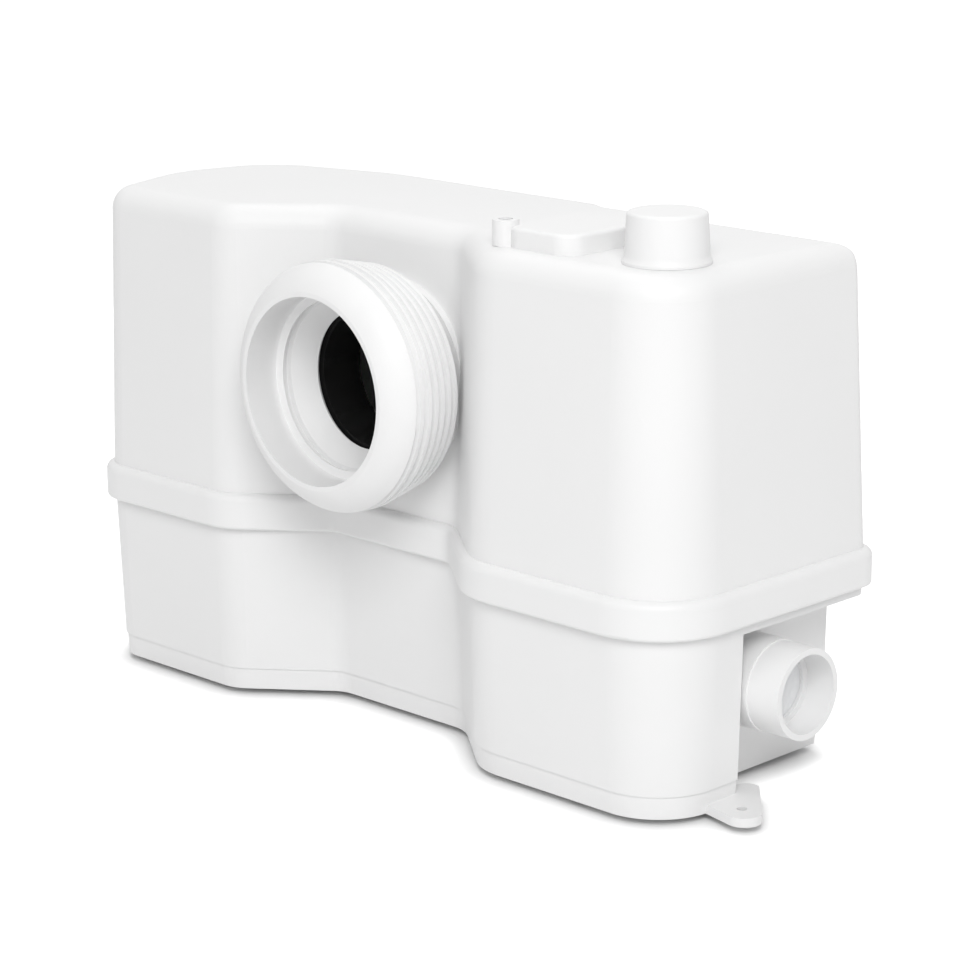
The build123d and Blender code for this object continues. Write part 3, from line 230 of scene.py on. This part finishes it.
def felt(name):
    """Dark carbon felt."""
    fibre_scale, fibre_depth = 700.0, 0.0006
    material, shader = new_material(name)
    fibres = object_noise(material, fibre_scale, detail=8.0, stretch=(1.0, 1.0, 0.4))
    tint(material, shader, fibres, (0.02, 0.02, 0.02), (0.1, 0.1, 0.1))
    relief(material, shader, fibres, fibre_depth)
    shader.inputs["Roughness"].default_value = 0.95
    return material


FINISHES = {
    "white_plastic": moulded_plastic("white_moulding", (0.86, 0.86, 0.86), 0.42),
    "white_rubber": soft_rubber("white_sleeve_rubber", (0.88, 0.88, 0.88), 0.5),
    "grey_plastic": moulded_plastic("grey_moulding", (0.5, 0.51, 0.52), 0.5),
    "black_rubber": soft_rubber("black_moulded_rubber", (0.03, 0.03, 0.03), 0.6),
    "steel": drawn_metal("drawn_steel", (0.6, 0.6, 0.61), 0.34, ALONG_Z),
    "aluminium": drawn_metal("cast_aluminium", (0.7, 0.7, 0.71), 0.45, EVEN),
    "copper": wound_copper("coil_wire"),
    "green_board": circuit_board("circuit_board"),
    "filter_felt": felt("carbon_felt"),
}

SPECIAL_FINISHES = {
    "inlet_liner": soft_rubber("glossy_black_rubber", (0.012, 0.012, 0.012), 0.22),
    "side_flap": moulded_plastic("pale_flap_moulding", (0.86, 0.87, 0.88), 0.4),
}

for subpart in frame["record"]["subparts"]:
    piece = frame["nodes"][subpart["node"]]
    finish = SPECIAL_FINISHES.get(subpart["node"], FINISHES[subpart["material_slot"]])
    for index in range(len(piece.material_slots)):
        piece.material_slots[index].material = finish


def mesh_piece(name, body, material, vertices, faces):
    """Mesh object that rides on a body."""
    mesh = bpy.data.meshes.new(name)
    mesh.from_pydata(vertices, [], faces)
    mesh.update()
    mesh.materials.append(material)
    piece = bpy.data.objects.new(name, mesh)
    bpy.context.collection.objects.link(piece)
    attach(piece, body)
    return piece


def cross_plate(across, back, height):
    """Vertices and faces of a thin level cross."""
    arm, half_width = CROSS_ARM, CROSS_HALF_WIDTH
    outline = [
        (arm, -half_width), (arm, half_width), (half_width, half_width), (half_width, arm),
        (-half_width, arm), (-half_width, half_width), (-arm, half_width), (-arm, -half_width),
        (-half_width, -half_width), (-half_width, -arm), (half_width, -arm), (half_width, -half_width),
    ]
    count = len(outline)
    vertices = [(across + x, back + y, height) for x, y in outline]
    vertices += [(across + x, back + y, height + CROSS_THICKNESS) for x, y in outline]
    faces = [list(reversed(range(count))), list(range(count, 2 * count))]
    for index in range(count):
        after = (index + 1) % count
        faces.append([index, after, count + after, count + index])
    return vertices, faces


def build_painted_screw_recess_shade():
    """Painted shade of the service screw's cross recess, as a thin dark cross on its head."""
    # Near-black metal that stands in for the shade inside the hollow cross: painted shade.
    dark = drawn_metal("recess_shade", (0.05, 0.05, 0.05), 0.6, EVEN)
    screw_low, screw_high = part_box("service_screw")
    centre = (screw_low + screw_high) / 2
    shape = cross_plate(centre.x, centre.y, screw_high.z + CROSS_LIFT)
    mesh_piece("service_screw_recess_shade", "service_lid", dark, *shape)


def build_gland_grip():
    """Grip ribs round the cable gland's dome nut."""
    low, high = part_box("cable_gland")
    across, height = (low.x + high.x) / 2, (low.z + high.z) / 2
    radius = (high.x - low.x) / 2 - GLAND_RIM
    count = len(GRIP_PROFILE)
    vertices = []
    faces = []
    for index in range(GRIP_COUNT):
        turn = 2 * pi * index / GRIP_COUNT
        out = Vector((cos(turn), 0, sin(turn)))
        side = Vector((-sin(turn), 0, cos(turn)))
        foot = Vector((across, 0, height)) + out * (radius - GRIP_SEAT)
        first = len(vertices)
        for depth in (high.y - GRIP_BACK, high.y - GRIP_FRONT):
            for offset, lift in GRIP_PROFILE:
                corner = foot + side * (offset * GRIP_HALF) + out * (lift * GRIP_RISE)
                vertices.append((corner.x, depth, corner.z))
        second = first + count
        for edge in range(count):
            after = (edge + 1) % count
            faces.append([first + edge, first + after, second + after, second + edge])
        faces.append([first + edge for edge in reversed(range(count))])
        faces.append([second + edge for edge in range(count)])
    mesh_piece("gland_grip", "case", FINISHES["grey_plastic"], vertices, faces)


def background_rays(tree):
    """Socket that is 1 for the rays that show the background: camera, reflection or clear material."""
    path = tree.nodes.new("ShaderNodeLightPath")
    shown = path.outputs["Is Camera Ray"]
    for name in ("Is Glossy Ray", "Is Transmission Ray"):
        either = tree.nodes.new("ShaderNodeMath")
        either.operation = "MAXIMUM"
        tree.links.new(shown, either.inputs[0])
        tree.links.new(path.outputs[name], either.inputs[1])
        shown = either.outputs[0]
    return shown


def build_floor():
    """Pale floor that stays white to the camera and still takes the case's shadow."""
    bpy.ops.mesh.primitive_plane_add(size=FLOOR_SIZE)
    floor = bpy.context.object
    floor.name = "studio_floor"
    material, shader = new_material("pale_floor")
    shader.inputs["Base Color"].default_value = FLOOR_COLOUR
    shader.inputs["Roughness"].default_value = FLOOR_ROUGHNESS
    shader.inputs["Specular IOR Level"].default_value = FLOOR_GLOSS
    tree = material.node_tree
    output = next(node for node in tree.nodes if node.type == "OUTPUT_MATERIAL")
    glow = tree.nodes.new("ShaderNodeEmission")
    glow.inputs["Color"].default_value = WHITE
    near = tree.nodes.new("ShaderNodeAmbientOcclusion")
    near.inputs["Distance"].default_value = CONTACT_REACH
    open_floor = tree.nodes.new("ShaderNodeMath")
    open_floor.operation = "POWER"
    open_floor.inputs[1].default_value = CONTACT_POWER
    seen = tree.nodes.new("ShaderNodeMath")
    seen.operation = "MULTIPLY"
    strength = tree.nodes.new("ShaderNodeMath")
    strength.operation = "MULTIPLY"
    strength.inputs[1].default_value = FLOOR_GLOW
    tree.links.new(near.outputs["AO"], open_floor.inputs[0])
    tree.links.new(open_floor.outputs[0], seen.inputs[0])
    tree.links.new(background_rays(tree), seen.inputs[1])
    tree.links.new(seen.outputs[0], strength.inputs[0])
    tree.links.new(strength.outputs[0], glow.inputs["Strength"])
    both = tree.nodes.new("ShaderNodeAddShader")
    tree.links.new(shader.outputs["BSDF"], both.inputs[0])
    tree.links.new(glow.outputs["Emission"], both.inputs[1])
    tree.links.new(both.outputs["Shader"], output.inputs["Surface"])
    floor.data.materials.append(material)


def build_world():
    """Even pale surroundings, white to the camera, to reflections and through clear material."""
    world = bpy.data.worlds.new("studio")
    bpy.context.scene.world = world
    world.use_nodes = True
    tree = world.node_tree
    tree.nodes.clear()
    output = tree.nodes.new("ShaderNodeOutputWorld")
    background = tree.nodes.new("ShaderNodeBackground")
    background.inputs["Color"].default_value = WHITE
    strength = tree.nodes.new("ShaderNodeMapRange")
    strength.inputs["To Min"].default_value = WORLD_LIGHT
    strength.inputs["To Max"].default_value = 1.0
    tree.links.new(background_rays(tree), strength.inputs["Value"])
    tree.links.new(strength.outputs["Result"], background.inputs["Strength"])
    tree.links.new(background.outputs["Background"], output.inputs["Surface"])


def area_light(name, place, aim, size, power):
    """Square soft box that looks at a point."""
    data = bpy.data.lights.new(name, "AREA")
    data.shape = "SQUARE"
    data.size = size
    data.energy = power
    lamp = bpy.data.objects.new(name, data)
    bpy.context.collection.objects.link(lamp)
    lamp.location = place
    lamp.rotation_euler = (Vector(aim) - Vector(place)).to_track_quat("-Z", "Y").to_euler()


def build_camera():
    """Camera from the solved turn, rise, roll, distance and lens."""
    turn, rise, roll = radians(CAMERA_TURN), radians(CAMERA_RISE), radians(CAMERA_ROLL)
    back = Vector((sin(turn) * cos(rise), -cos(turn) * cos(rise), sin(rise)))
    level = Vector((cos(turn), sin(turn), 0))
    upward = back.cross(level)
    right = level * cos(roll) + upward * sin(roll)
    up = upward * cos(roll) - level * sin(roll)
    data = bpy.data.cameras.new("photo_camera")
    data.lens = CAMERA_LENS
    data.sensor_width = SENSOR_WIDTH
    data.sensor_fit = "HORIZONTAL"
    camera = bpy.data.objects.new("photo_camera", data)
    bpy.context.collection.objects.link(camera)
    place = CAMERA_AIM + back * CAMERA_DISTANCE
    axes = Matrix((right, up, back)).transposed()
    camera.matrix_world = Matrix.Translation(place) @ axes.to_4x4()
    bpy.context.scene.camera = camera


build_painted_screw_recess_shade()
build_gland_grip()
build_floor()
build_world()
key_turn, key_rise = radians(KEY_TURN), radians(KEY_RISE)
key_way = Vector((sin(key_turn) * cos(key_rise), -cos(key_turn) * cos(key_rise), sin(key_rise)))
area_light("key_box", CAMERA_AIM + key_way * KEY_DISTANCE, CAMERA_AIM, KEY_SIZE, KEY_POWER)
area_light("top_box", TOP_PLACE, CAMERA_AIM, TOP_SIZE, TOP_POWER)
build_camera()
bpy.context.scene.view_settings.view_transform = "Standard"
